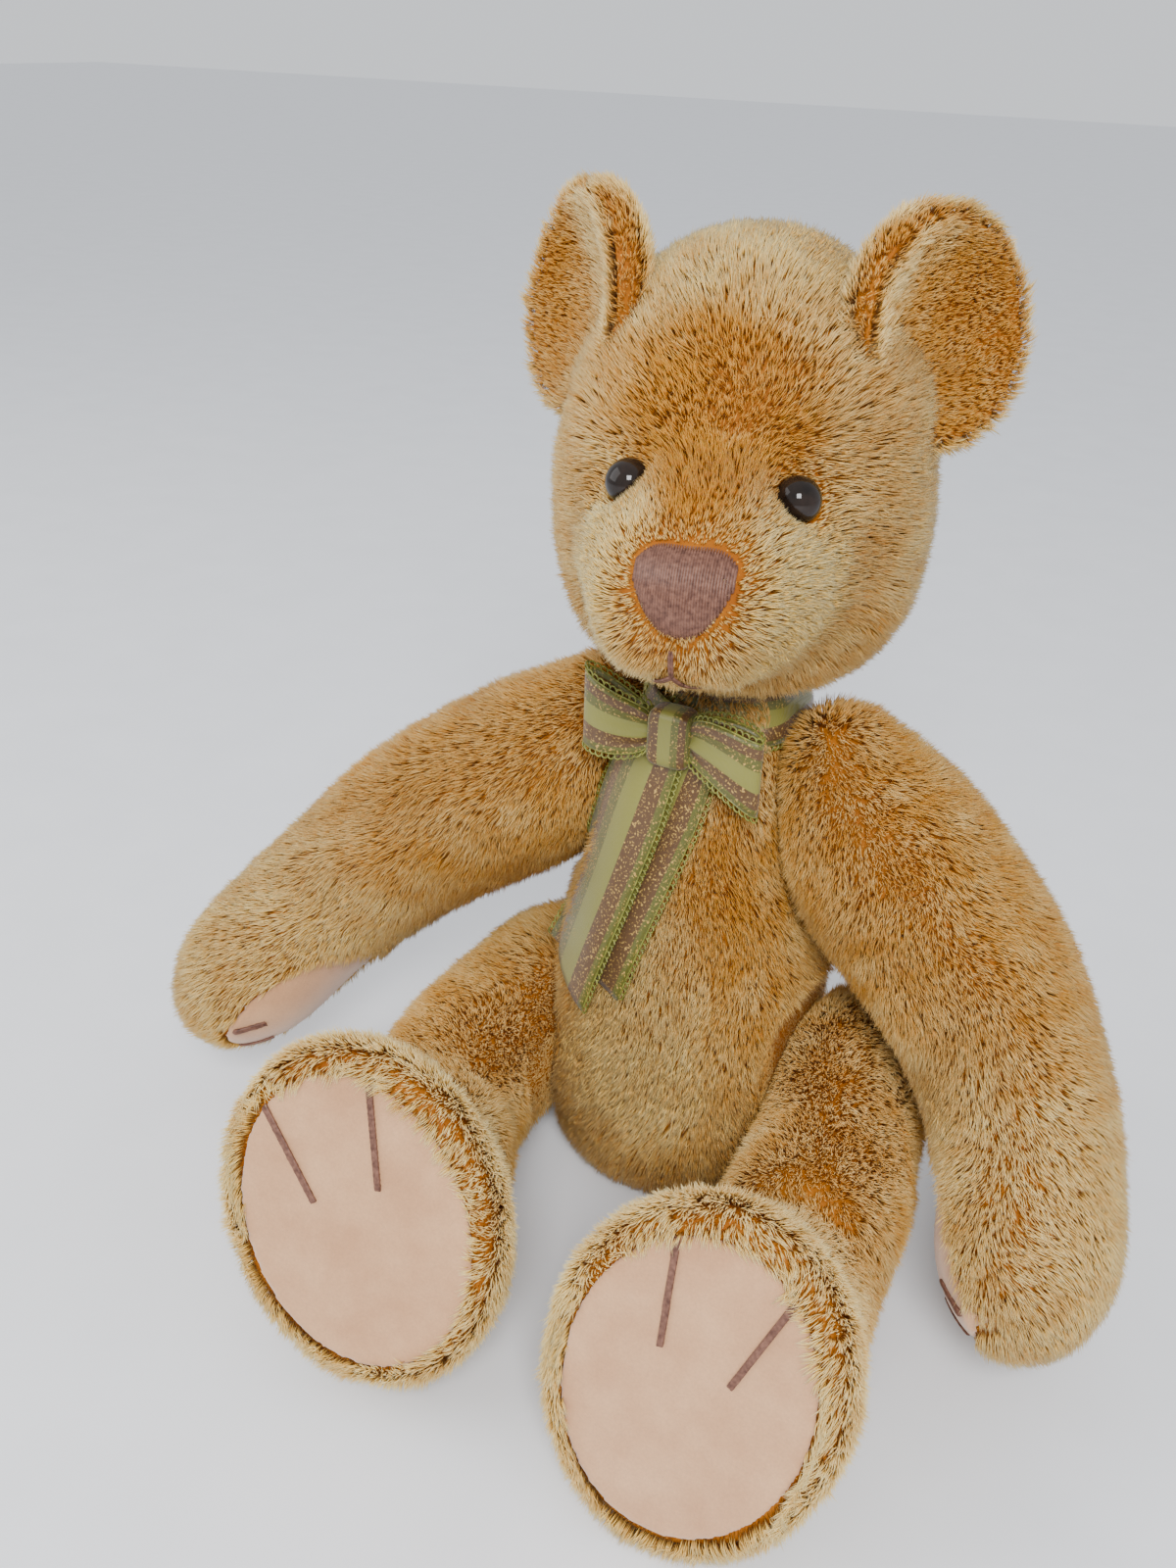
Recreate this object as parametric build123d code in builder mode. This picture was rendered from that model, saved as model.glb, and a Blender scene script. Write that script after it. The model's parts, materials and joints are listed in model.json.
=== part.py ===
"""Jointed teddy bear, sitting.

Millimetres, +Z up.  The origin is the middle of the flat seat the bear rests on.
The bear faces -Y and its left side is +X.
Every soft part is a thin cloth cover around its own stuffing, and the head, arms and
legs each turn on a disc joint: one board disc inside the limb, one inside the torso,
held together by washers and a cotter pin.
"""
from build123d import *
import os
from math import cos, pi, radians, sin, tan

os.makedirs("parts", exist_ok=True)

# ---------------------------------------------------------------- driving dimensions
CLOTH = 1.6            # mohair backing and seam allowance, as one wall
STUFFING_GAP = 0.4     # between the wall and the stuffing
JOINT_GAP = 0.6        # between the two flat faces that rub at each joint
PAD = 1.2              # suede pad standing on the cloth
CLAW = 0.9             # stitched thread standing on a pad or on the cloth
NECK = (0, 8, 164)
HEAD_YAW = 12          # the head looks a little towards its left
SHOULDER = (26.5, 6, 126)
SHOULDER_TILT = 15     # the shoulder faces look out and up
HIP = (34, 4, 34)
SOLE_TILT = 16         # the soles lean back
LEFT_SOLE_TURN = 2     # degrees each sole faces outward
RIGHT_SOLE_TURN = -12
LEFT_TOE_LEAN = 11     # degrees each foot's toes lean outward
RIGHT_TOE_LEAN = 26
RIGHT_LEG_LIFT = 1.5   # the right leg is swung up a little
STRAIGHT_SOLE = (41, -128, 47.5)   # middle of the sole of a leg lying straight ahead
LEFT_SOLE = (58, -131, 43.6)       # the left leg is spread
RIGHT_SOLE = (34, -131, 47.5)

LIMB_FACE_RADIUS = 46
TORSO_FACE_RADIUS = {"neck": 40, "shoulder": 31, "hip": 36}
CUT_DEPTH = 60

PIN = 1.5
PIN_FIT = 0.1
DISC = 12
DISC_THICK = 3
WASHER = 6.5
WASHER_THICK = 1
PIN_HEAD = 3.2
PIN_HEAD_THICK = 1.8
CURL = 2.3             # bending radius of the cotter legs
CURL_WIRE = 0.6
CURL_START = 0.75      # how far each leg leaves from the middle of the pin
CAVITY_DEPTH = 16      # room left in the stuffing behind each joint face

EYE = 5.8
EYE_WIRE = 0.8
EAR_CUP = 50           # radius of the hollow of the ear
EAR_THICK = 5.5
RIBBON = 24
RIBBON_THICK = 0.8
PILE = 4.5             # the fur the ribbon lies on


# ---------------------------------------------------------------- helpers
def level(y, z):
    """A horizontal section plane centred on (0, y, z)."""
    return Plane(origin=(0, y, z), x_dir=(1, 0, 0), z_dir=(0, 0, 1))


def upright(y, z):
    """A section plane facing forward, centred on (0, y, z)."""
    return Plane(origin=(0, y, z), x_dir=(1, 0, 0), z_dir=(0, -1, 0))


def facing(origin, direction, sideways):
    """A plane looking along direction, its x axis as near to sideways as it can be."""
    up = Vector(direction).cross(Vector(sideways))
    return Plane(origin=origin, x_dir=up.cross(Vector(direction)), z_dir=direction)


def lofted(sections, grow=0.0, cuts=()):
    """A rounded solid through ellipses given as (plane, half width, half height).

    grow moves the whole surface outward, or inward when negative.  Each cut is a flat
    round recess for a joint: the plane of its floor, looking out of the material, and
    its radius.
    """
    last = len(sections) - 1
    with BuildPart() as body:
        for index, (plane, half_width, half_height) in enumerate(sections):
            shift = {0: -grow, last: grow}.get(index, 0)
            with BuildSketch(plane.offset(shift)):
                Ellipse(half_width + grow, half_height + grow)
        loft()
        for plane, radius in cuts:
            with BuildSketch(plane.offset(grow)):
                Circle(radius - grow)
            extrude(amount=CUT_DEPTH, mode=Mode.SUBTRACT)
    return body.part


def joined(*solids):
    """Several solids made into one."""
    with BuildPart() as body:
        for solid in solids:
            add(solid)
    return body.part


def carved(solid, *hollows):
    """A solid with others taken out of it."""
    with BuildPart() as body:
        add(solid)
        for hollow in hollows:
            add(hollow, mode=Mode.SUBTRACT)
    return body.part


def shared(solid, other):
    """What two solids have in common."""
    with BuildPart() as body:
        add(solid)
        add(other, mode=Mode.INTERSECT)
    return body.part


def rod(plane, radius, start, end):
    """A cylinder along the plane's axis between two heights."""
    with BuildPart() as body:
        with BuildSketch(plane.offset(start)):
            Circle(radius)
        extrude(amount=end - start)
    return body.part


def ring(plane, radius, start, end):
    """A flat ring with the pin's hole in the middle."""
    return carved(rod(plane, radius, start, end), rod(plane, PIN + PIN_FIT, start, end))


def save(solid, name):
    """Label one sub-part and write it to its own file."""
    solid.label = name
    export_step(solid, f"parts/{name}.step")


# ---------------------------------------------------------------- joints
def shoulder_plane(side):
    x, y, z = SHOULDER
    tilt = radians(SHOULDER_TILT)
    return Plane(origin=(side * x, y, z), x_dir=(0, -1, 0), z_dir=(side * cos(tilt), 0, sin(tilt)))


def hip_plane(side):
    x, y, z = HIP
    return Plane(origin=(side * x, y, z), x_dir=(0, -1, 0), z_dir=(side, 0, 0))


# Every joint plane looks out of the torso into the part that turns.
JOINTS = {
    "neck": Plane(origin=NECK, x_dir=(1, 0, 0), z_dir=(0, 0, 1)),
    "shoulder_left": shoulder_plane(1),
    "shoulder_right": shoulder_plane(-1),
    "hip_left": hip_plane(1),
    "hip_right": hip_plane(-1),
}


def limb_cut(name):
    """The flat face of the turning part at a joint."""
    plane = JOINTS[name].offset(JOINT_GAP / 2)
    return Plane(origin=plane.origin, x_dir=plane.x_dir, z_dir=-plane.z_dir), LIMB_FACE_RADIUS


def torso_cut(name):
    """The flat face of the torso at a joint."""
    return JOINTS[name].offset(-JOINT_GAP / 2), TORSO_FACE_RADIUS[name.split("_")[0]]


def pin_hole(name):
    """The hole a joint's pin passes through, with its running clearance."""
    reach = CAVITY_DEPTH
    return rod(JOINTS[name], PIN + PIN_FIT, -reach, reach)


def cavity(name):
    """The room a joint's hardware takes in the stuffing on both sides."""
    return rod(JOINTS[name], DISC + 0.5, -CAVITY_DEPTH, CAVITY_DEPTH)


# ---------------------------------------------------------------- torso
torso_sections = [
    (level(2, 0), 30, 27),
    (level(1, 6), 37, 34.5),
    (level(0, 24), 41.5, 40),
    (level(0, 50), 41, 40.5),
    (level(1, 76), 38.5, 38),
    (level(4, 102), 34, 33.5),
    (level(6, 126), 30, 29),
    (level(7, 144), 25, 24.5),
    (level(8, 156), 20.5, 20.5),
    (level(8, NECK[2] + 4), 19.5, 19.5),
]
torso_cuts = [torso_cut(name) for name in JOINTS]
pin_holes = [pin_hole(name) for name in JOINTS]
cavities = [cavity(name) for name in JOINTS]


def torso_skin(grow):
    """The torso's surface with its flat faces at the five joints."""
    return lofted(torso_sections, grow, torso_cuts)


save(carved(torso_skin(0), torso_skin(-CLOTH), *pin_holes), "torso_cover")
save(carved(torso_skin(-CLOTH - STUFFING_GAP), *cavities), "torso_stuffing")

# ---------------------------------------------------------------- head
# Built looking straight ahead on the neck, then turned about the neck.
head_turn = Axis(origin=NECK, direction=(0, 0, 1))
skull_sections = [
    (level(8, NECK[2] - 3), 18, 18),
    (level(8, NECK[2] + 4), 31, 30),
    (level(8, NECK[2] + 15), 41, 39),
    (level(8, NECK[2] + 30), 46, 43.5),
    (level(8, NECK[2] + 48), 47, 45),
    (level(8, NECK[2] + 66), 45, 44.5),
    (level(9, NECK[2] + 84), 39, 39.5),
    (level(9, NECK[2] + 98), 29, 30),
    (level(9, NECK[2] + 107), 18, 19),
    (level(9, NECK[2] + 111), 8, 8),
]
muzzle_sections = [
    (upright(4, 208), 40, 38),
    (upright(-16, 207), 37, 34.5),
    (upright(-32, 205), 31, 29.5),
    (upright(-46, 203.5), 26, 24.5),
    (upright(-58, 202.5), 22, 20.5),
    (upright(-66, 202), 17, 16),
    (upright(-70.5, 202), 10, 9.5),
]


def head_shape(grow):
    """Skull and muzzle as one solid, cut flat at the neck."""
    shape = joined(lofted(skull_sections, grow, [limb_cut("neck")]), lofted(muzzle_sections, grow))
    return shape.rotate(head_turn, HEAD_YAW)


def eye_plane(side):
    return facing((side * 20.5, -37.2, 223), (side * 0.42, -0.86, 0.28), (1, 0, 0))


def ear_plane(side):
    ahead = radians(52)
    return facing((side * 41, 11, 256), (side * sin(ahead), -cos(ahead), 0.1), (side, 0, 1))


def turned(solid):
    """Move a piece of the head from straight ahead to where the head looks."""
    return solid.rotate(head_turn, HEAD_YAW)


head_outside = head_shape(0)
head_inside = head_shape(-CLOTH)
head_filling = head_shape(-CLOTH - STUFFING_GAP)

eyes = {}
wires = []
for side, name in ((1, "eye_left"), (-1, "eye_right")):
    plane = eye_plane(side)
    with BuildPart() as ball:
        with Locations(plane.location):
            Sphere(EYE)
    wire = rod(plane, EYE_WIRE, -EYE - 12, -EYE + 1)
    eyes[name] = turned(ball.part)
    wires.append(turned(wire))

save(carved(head_outside, head_inside, *eyes.values(), *wires, *pin_holes), "head_cover")
save(carved(head_filling, *eyes.values(), *wires, *cavities), "head_stuffing")
for name, eye in eyes.items():
    save(eye, name)
save(carved(joined(*wires), *eyes.values()), "eye_wires")

for side, name in ((1, "ear_left"), (-1, "ear_right")):
    plane = ear_plane(side)
    with BuildPart() as ear:
        with BuildSketch(plane.offset(-14)):
            Ellipse(27, 29)
        extrude(amount=34)
        with Locations(plane.offset(EAR_CUP - 6).location):
            Sphere(EAR_CUP, mode=Mode.INTERSECT)
            Sphere(EAR_CUP - EAR_THICK, mode=Mode.SUBTRACT)
    save(carved(turned(ear.part), head_outside), name)



def skin_patch(outline, skin, under, over):
    """A layer lying on a surface, cut to an outline block.

    skin(grow) gives the surface; the layer fills it from under to over.
    """
    return carved(shared(outline, skin(over)), skin(under))


with BuildPart() as nose_block:
    with BuildSketch(upright(-40, 208.5)):
        with BuildLine():
            Polyline((-12, 9.5), (12, 9.5), (12.5, 2), (0, -13), (-12.5, 2), (-12, 9.5))
        make_face()
        fillet(vertices(), 3)
    extrude(amount=50)
nose = turned(nose_block.part)
save(skin_patch(nose, head_shape, 0, 1.8), "nose")

mouth_line = upright(-40, 195)
with BuildPart() as mouth_block:
    with BuildSketch(mouth_line):
        with BuildLine():
            Line((0, 3), (0, -3.5))
            Polyline((-7.5, -9), (0, -3.5), (7.5, -9))
        trace(line_width=1.6)
    extrude(amount=50)
mouth = skin_patch(turned(mouth_block.part), head_shape, 0, CLAW)
save(carved(mouth, nose), "mouth_stitches")


# ---------------------------------------------------------------- limbs
class Limb:
    """One stuffed limb: an outer surface that can be grown, cut flat at its joint."""

    def __init__(self, joint, sections):
        self.cut = limb_cut(joint)
        self.joint = joint
        self.sections = sections

    def skin(self, grow):
        return lofted(self.sections, grow, [self.cut])

    def cover(self):
        return carved(self.skin(0), self.skin(-CLOTH), pin_hole(self.joint))

    def stuffing(self):
        return carved(self.skin(-CLOTH - STUFFING_GAP), cavity(self.joint))


def along(points, sideways, sizes):
    """Section planes square to a smooth path.

    sizes gives (share of the path, half width along sideways, half height) per section.
    """
    path = Spline(*points)
    return [(facing(path @ share, path % share, sideways), width, height) for share, width, height in sizes]


def bar(plane, start, end, width, depth):
    """A block over a thread between two points of a plane, round ended."""
    with BuildPart() as block:
        with BuildSketch(plane):
            with BuildLine():
                Line(start, end)
            trace(line_width=width)
        extrude(amount=depth, both=True)
    return block.part


ARM_REACH = 116        # how far below the shoulder the paw ends
ARM_SIZES = [
    (0, 7, 8),
    (0.05, 15, 17),
    (0.13, 22, 25),
    (0.26, 25, 29.5),
    (0.45, 24, 29),
    (0.63, 22, 25.5),
    (0.80, 21.5, 23.5),
    (0.91, 20, 20.5),
    (0.97, 14.5, 15),
    (1, 7.5, 8),
]


def arm_point(side, out, down, ahead, flare, bend):
    """A point measured from the shoulder: away from its face, down along it, ahead.

    flare is the angle at which the arm below the shoulder leaves the face, and bend is
    how far its middle stands ahead of the line from shoulder to paw.
    """
    x, y, z = SHOULDER
    tilt = radians(SHOULDER_TILT)
    away = out + max(down, 0) * tan(radians(flare))
    across = x + away * cos(tilt) + down * sin(tilt)
    bowed = ahead + bend * sin(pi * min(max(down, 0) / ARM_REACH, 1))
    return (side * across, y - bowed, z + away * sin(tilt) - down * cos(tilt))


def build_arm(side, name, flare, bend):
    spots = [(16, -24, 0), (16, 2, 1), (22, 34, 2), (24, 64, 9), (22, 89, 25), (18, 105, 48), (16, 108, 72)]
    points = [arm_point(side, out, down, ahead, flare, bend) for out, down, ahead in spots]
    outward = JOINTS[f"shoulder_{name}"].z_dir
    arm = Limb(f"shoulder_{name}", along(points, outward, ARM_SIZES))
    save(arm.cover(), f"arm_{name}_cover")
    save(arm.stuffing(), f"arm_{name}_stuffing")

    path = Spline(*points)
    palm_x = path % 0.86
    palm = Plane(origin=path @ 0.86, x_dir=palm_x, z_dir=outward.cross(palm_x).cross(palm_x))
    with BuildPart() as block:
        with BuildSketch(palm):
            Ellipse(27, 15)
        extrude(amount=40)
    save(skin_patch(block.part, arm.skin, 0, PAD), f"arm_{name}_paw_pad")
    claws = [bar(palm, (16, spread), (36, spread * 1.4), 1.8, 40) for spread in (-5, 5)]
    save(skin_patch(shared(joined(*claws), block.part), arm.skin, PAD, PAD + CLAW), f"arm_{name}_claws")


def sole_facing(share, turn):
    """The way a foot section faces: part of the way from straight ahead to the sole's."""
    across = radians(turn * share)
    tilt = radians(SOLE_TILT * share)
    return (sin(across) * cos(tilt), -cos(across) * cos(tilt), sin(tilt))


def leg_pieces(turn, toe_lean, sole_at):
    """A left leg's pieces by name.

    turn is how far its sole faces outward, toe_lean how far the toes lean outward and
    sole_at the middle of the sole.
    """
    straight = (0, -1, 0)
    halfway = sole_facing(0.5, turn)
    level_way = (1, 0, 0)
    toes_way = (cos(radians(toe_lean)), 0, -sin(radians(toe_lean)))
    sole = facing(sole_at, sole_facing(1, turn), toes_way)
    bow = 20 * sin(radians(turn))
    out, _, rise = tuple(Vector(sole_at) - Vector(STRAIGHT_SOLE))
    leg = Limb("hip_left", [
        (facing((49, 29, 35), straight, level_way), 8, 10),
        (facing((49, 24, 35), straight, level_way), 16, 19),
        (facing((50, 12, 35), straight, level_way), 20.5, 24.5),
        (facing((52, -8, 34), straight, level_way), 22, 26),
        (facing((56 + 0.1 * out, -35, 31), straight, level_way), 21.5, 24.5),
        (facing((54 + 0.35 * out, -66, 28.5), straight, level_way), 21, 23),
        (facing((47.5 - 0.6 * bow + 0.7 * out, -93, 33 + 0.5 * rise), halfway, level_way), 26, 28.5),
        (facing((42 - 0.9 * bow + 0.9 * out, -110, 41.5 + 0.8 * rise), halfway, toes_way), 32, 37.5),
        (sole.offset(-9), 35, 43),
        (sole.offset(-4), 35, 43.5),
        (sole, 31.5, 40),
    ])
    with BuildPart() as block:
        with BuildSketch(sole.offset(-4)):
            Ellipse(30.5, 39)
        extrude(amount=16)
    claws = [bar(sole, (spread * 15, 35), (spread * 9, 7), 1.8, 12) for spread in (-1, 1)]
    return {
        "cover": leg.cover(),
        "stuffing": leg.stuffing(),
        "foot_pad": skin_patch(block.part, leg.skin, 0, PAD),
        "claws": skin_patch(shared(joined(*claws), block.part), leg.skin, PAD, PAD + CLAW),
    }


for side, name, flare, bend in ((1, "left", 23, 4), (-1, "right", 31, 13)):
    build_arm(side, name, flare, bend)
for piece, solid in leg_pieces(LEFT_SOLE_TURN, LEFT_TOE_LEAN, LEFT_SOLE).items():
    save(solid, f"leg_left_{piece}")
hip_axis = Axis(origin=HIP, direction=(1, 0, 0))
for piece, solid in leg_pieces(RIGHT_SOLE_TURN, RIGHT_TOE_LEAN, RIGHT_SOLE).items():
    save(solid.mirror(Plane.YZ).rotate(hip_axis, -RIGHT_LEG_LIFT), f"leg_right_{piece}")

# ---------------------------------------------------------------- disc joints
wall = JOINT_GAP / 2 + CLOTH
washer_start = wall + DISC_THICK
washer_end = washer_start + WASHER_THICK


def cotter(plane):
    """A pin with a head on the limb side and two legs curled over on the torso side."""
    curl_start = -washer_end - 0.3
    with BuildPart() as pin:
        with BuildSketch(plane.offset(curl_start)):
            Circle(PIN)
        extrude(amount=washer_end - curl_start)
        with BuildSketch(plane.offset(washer_end)):
            Circle(PIN_HEAD)
        extrude(amount=PIN_HEAD_THICK)
        for way in (-1, 1):
            centre = plane.offset(curl_start).from_local_coords((way * (CURL_START + CURL), 0, 0))
            with BuildSketch(plane.offset(curl_start)):
                with Locations((way * CURL_START, 0)):
                    Circle(CURL_WIRE)
            revolve(axis=Axis(centre, plane.y_dir), revolution_arc=-way * 150)
    return pin.part


torso_washers = []
for name, plane in JOINTS.items():
    save(ring(plane, DISC, wall, washer_start), f"{name}_limb_disc")
    save(ring(plane, WASHER, washer_start, washer_end), f"{name}_limb_washer")
    save(cotter(plane), f"{name}_cotter_pin")
    save(ring(plane, DISC, -washer_start, -wall), f"{name}_torso_disc")
    torso_washers.append(ring(plane, WASHER, -washer_end, -washer_start))
save(joined(*torso_washers), "torso_washers")

# ---------------------------------------------------------------- ribbon
# It lies on the fur, so it stands a little off the cloth.
with BuildPart() as neck_band:
    with BuildSketch(level(8, 147)):
        Circle(60)
    extrude(amount=15)
save(skin_patch(neck_band.part, torso_skin, 2, 2 + RIBBON_THICK), "ribbon_collar")

KNOT_Z = 151
knot_back = upright(-19.5, KNOT_Z)
with BuildPart() as knot:
    with BuildSketch(knot_back):
        with Locations((-2, 0)):
            Rectangle(13, 17)
    extrude(amount=10)
    fillet(knot.edges(), 3)
save(knot.part, "ribbon_knot")

for side, name, length in ((1, "left", 24), (-1, "right", 18)):
    middle = -2 + side * (6.5 + length / 2 + 0.1)
    with BuildPart() as loop:
        with BuildSketch(Plane(origin=(middle, -26, KNOT_Z - RIBBON / 2))):
            SlotOverall(length, 9)
            offset(amount=-RIBBON_THICK, mode=Mode.SUBTRACT)
        extrude(amount=RIBBON)
    save(loop.part, f"ribbon_loop_{name}")

TAILS = {
    "ribbon_tail_front": (PILE, [(-14, 138), (9, 138), (-14, 76), (-36, 69)]),
    "ribbon_tail_back": (PILE - 1.5, [(-10, 138), (12, 138), (-4, 82), (-26, 76)]),
}
for name, (height, corners) in TAILS.items():
    with BuildPart() as block:
        with BuildSketch(upright(0, 0)):
            Polygon(*corners, align=None)
        extrude(amount=80)
    save(skin_patch(block.part, torso_skin, height, height + RIBBON_THICK), name)
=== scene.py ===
"""Looks of the sitting jointed teddy bear: mohair, suede, stitching, ribbon, room."""
import json
import math

import bpy
import numpy as np
from mathutils import Matrix, Vector
from mathutils.bvhtree import BVHTree
from mathutils.kdtree import KDTree

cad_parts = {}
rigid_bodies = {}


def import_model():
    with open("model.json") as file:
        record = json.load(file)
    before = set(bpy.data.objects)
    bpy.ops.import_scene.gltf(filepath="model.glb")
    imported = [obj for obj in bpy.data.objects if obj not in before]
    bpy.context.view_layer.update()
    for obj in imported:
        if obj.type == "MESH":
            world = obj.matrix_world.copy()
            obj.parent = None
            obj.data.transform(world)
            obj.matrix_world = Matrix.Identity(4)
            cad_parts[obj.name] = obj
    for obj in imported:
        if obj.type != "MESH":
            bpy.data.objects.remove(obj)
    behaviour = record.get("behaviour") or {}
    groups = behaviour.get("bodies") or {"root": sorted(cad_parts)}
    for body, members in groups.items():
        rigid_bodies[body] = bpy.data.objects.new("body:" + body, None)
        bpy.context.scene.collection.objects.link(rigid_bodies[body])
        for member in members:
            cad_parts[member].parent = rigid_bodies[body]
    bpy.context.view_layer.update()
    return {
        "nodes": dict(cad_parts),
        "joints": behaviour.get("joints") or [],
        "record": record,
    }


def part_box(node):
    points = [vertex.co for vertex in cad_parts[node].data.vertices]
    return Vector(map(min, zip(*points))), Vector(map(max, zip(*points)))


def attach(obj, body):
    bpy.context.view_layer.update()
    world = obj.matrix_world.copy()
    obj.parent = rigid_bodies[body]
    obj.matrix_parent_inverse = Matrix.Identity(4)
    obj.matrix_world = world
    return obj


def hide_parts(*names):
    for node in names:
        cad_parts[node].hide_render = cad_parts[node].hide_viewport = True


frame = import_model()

MM = 0.001
nodes = frame["nodes"]
bodies = frame["record"]["behaviour"]["bodies"]
body_of_node = {node: body for body, members in bodies.items() for node in members}

NOSE_TIP = Vector((16, -67, 208)) * MM
HEAD_MIDDLE = Vector((0, 8, 221)) * MM
HEAD_YAW = math.radians(12)
NECK = Vector((0, 8, 164)) * MM


# ---------------------------------------------------------------- mesh helpers
def points_of(mesh):
    """Vertex positions as an array."""
    co = np.empty(len(mesh.vertices) * 3)
    mesh.vertices.foreach_get("co", co)
    return co.reshape(-1, 3)


def normals_of(mesh):
    """Vertex normals as an array."""
    no = np.empty(len(mesh.vertices) * 3)
    mesh.vertex_normals.foreach_get("vector", no)
    return no.reshape(-1, 3)


def set_points(mesh, co):
    mesh.vertices.foreach_set("co", np.ascontiguousarray(co, float).ravel())
    mesh.update()


def unit(v):
    return v / np.maximum(np.linalg.norm(v, axis=-1, keepdims=True), 1e-12)


def ramp(x, low, high):
    """0 below low, 1 above high, smooth between."""
    t = np.clip((x - low) / (high - low), 0, 1)
    return t * t * (3 - 2 * t)


def ripple(p, wavelength, seed, count=7):
    """Smooth noise from about -1 to 1 made of a few waves in different directions."""
    rng = np.random.default_rng(seed)
    total = np.zeros(len(p))
    for _ in range(count):
        way = rng.normal(size=3)
        way /= np.linalg.norm(way)
        stretch = wavelength * rng.uniform(0.7, 1.5)
        total += np.sin(p @ way * (2 * math.pi / stretch) + rng.uniform(0, 2 * math.pi))
    return total / math.sqrt(count)


def new_object(name, mesh, material, body=None, smooth=True):
    obj = bpy.data.objects.new(name, mesh)
    bpy.context.scene.collection.objects.link(obj)
    if material:
        mesh.materials.clear()
        mesh.materials.append(material)
    if smooth:
        mesh.polygons.foreach_set("use_smooth", [True] * len(mesh.polygons))
    mesh.update()
    if body:
        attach(obj, body)
    return obj


def mesh_from(name, verts, faces, uvs=None):
    """A mesh from arrays; faces are all the same size, uvs one pair per vertex."""
    faces = np.asarray(faces, np.int32)
    sides = faces.shape[1]
    mesh = bpy.data.meshes.new(name)
    mesh.vertices.add(len(verts))
    mesh.vertices.foreach_set("co", np.ascontiguousarray(verts, np.float32).ravel())
    mesh.loops.add(faces.size)
    mesh.loops.foreach_set("vertex_index", faces.ravel())
    mesh.polygons.add(len(faces))
    mesh.polygons.foreach_set("loop_start", np.arange(0, faces.size, sides, dtype=np.int32))
    if uvs is not None:
        layer = mesh.uv_layers.new(name="OFBake")
        corner_uvs = np.asarray(uvs)[faces.ravel()]
        layer.data.foreach_set("uv", np.ascontiguousarray(corner_uvs, np.float32).ravel())
    mesh.update(calc_edges=True)
    return mesh


def evaluated_copy(obj, name):
    """The object's mesh with its modifiers applied, as a new mesh."""
    graph = bpy.context.evaluated_depsgraph_get()
    mesh = bpy.data.meshes.new_from_object(obj.evaluated_get(graph))
    mesh.name = name
    return mesh


def apply_modifiers(obj):
    old = obj.data
    obj.data = evaluated_copy(obj, old.name)
    obj.modifiers.clear()
    bpy.data.meshes.remove(old)


def smooth(obj, rounds, strength=0.5):
    """Even out a mesh by moving each vertex towards its neighbours."""
    mesh = obj.data
    co = points_of(mesh)
    edges = np.empty(len(mesh.edges) * 2, np.int64)
    mesh.edges.foreach_get("vertices", edges)
    a, b = edges.reshape(-1, 2).T
    count = np.bincount(edges, minlength=len(co))[:, None]
    for _ in range(rounds):
        total = np.stack([
            np.bincount(a, co[b, k], len(co)) + np.bincount(b, co[a, k], len(co)) for k in range(3)
        ], 1)
        co = co + (total / count - co) * strength
    set_points(mesh, co)


def merged(name, node_names):
    """One mesh object holding copies of several CAD nodes."""
    verts, faces, start = [], [], 0
    for node in node_names:
        mesh = nodes[node].data
        mesh.calc_loop_triangles()
        tri = np.empty(len(mesh.loop_triangles) * 3, np.int32)
        mesh.loop_triangles.foreach_get("vertices", tri)
        verts.append(points_of(mesh))
        faces.append(tri.reshape(-1, 3) + start)
        start += len(mesh.vertices)
    return new_object(name, mesh_from(name, np.concatenate(verts), np.concatenate(faces)), None)


def remesh(obj, size):
    mod = obj.modifiers.new("remesh", "REMESH")
    mod.mode = "VOXEL"
    mod.voxel_size = size
    mod.use_smooth_shade = True
    apply_modifiers(obj)


def bvh_of(*objs):
    """A search tree over the surfaces of several objects."""
    verts, faces = [], []
    for obj in objs:
        start = len(verts)
        verts += [obj.matrix_world @ v.co for v in obj.data.vertices]
        faces += [[start + i for i in p.vertices] for p in obj.data.polygons]
    return BVHTree.FromPolygons(verts, faces)


def tube_mesh(name, paths, radius, sides=6):
    """Round threads along point lists, all in one mesh, with u round and v along."""
    verts, faces, uvs = [], [], []
    for path in paths:
        path = np.asarray(path, float)
        start = len(verts)
        ahead = unit(np.gradient(path, axis=0))
        helper = np.array([0.31, 0.17, 0.93])
        side = unit(np.cross(ahead, helper))
        lift = np.cross(side, ahead)
        for i, p in enumerate(path):
            taper = 0.35 if i in (0, len(path) - 1) else 1
            for k in range(sides):
                turn = 2 * math.pi * k / sides
                verts.append(p + (side[i] * math.cos(turn) + lift[i] * math.sin(turn)) * radius * taper)
                uvs.append((k / sides, i / (len(path) - 1)))
        for i in range(len(path) - 1):
            for k in range(sides):
                j = (k + 1) % sides
                a, b = start + i * sides, start + (i + 1) * sides
                faces.append((a + k, a + j, b + j, b + k))
    return mesh_from(name, np.array(verts), faces, uvs)


# ---------------------------------------------------------------- materials
def material(name):
    """A new node material; returns it, its tree and its shader."""
    made = bpy.data.materials.new(name)
    made.use_nodes = True
    tree = made.node_tree
    return made, tree, tree.nodes["Principled BSDF"]


def node(tree, kind, settings=None, **links):
    """Add a node, set its values, and wire the given inputs."""
    made = tree.nodes.new(kind)
    for key, value in (settings or {}).items():
        if hasattr(made, key):
            setattr(made, key, value)
        else:
            made.inputs[key].default_value = value
    for key, source in links.items():
        tree.links.new(source, made.inputs[key.replace("_", " ")])
    return made


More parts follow.
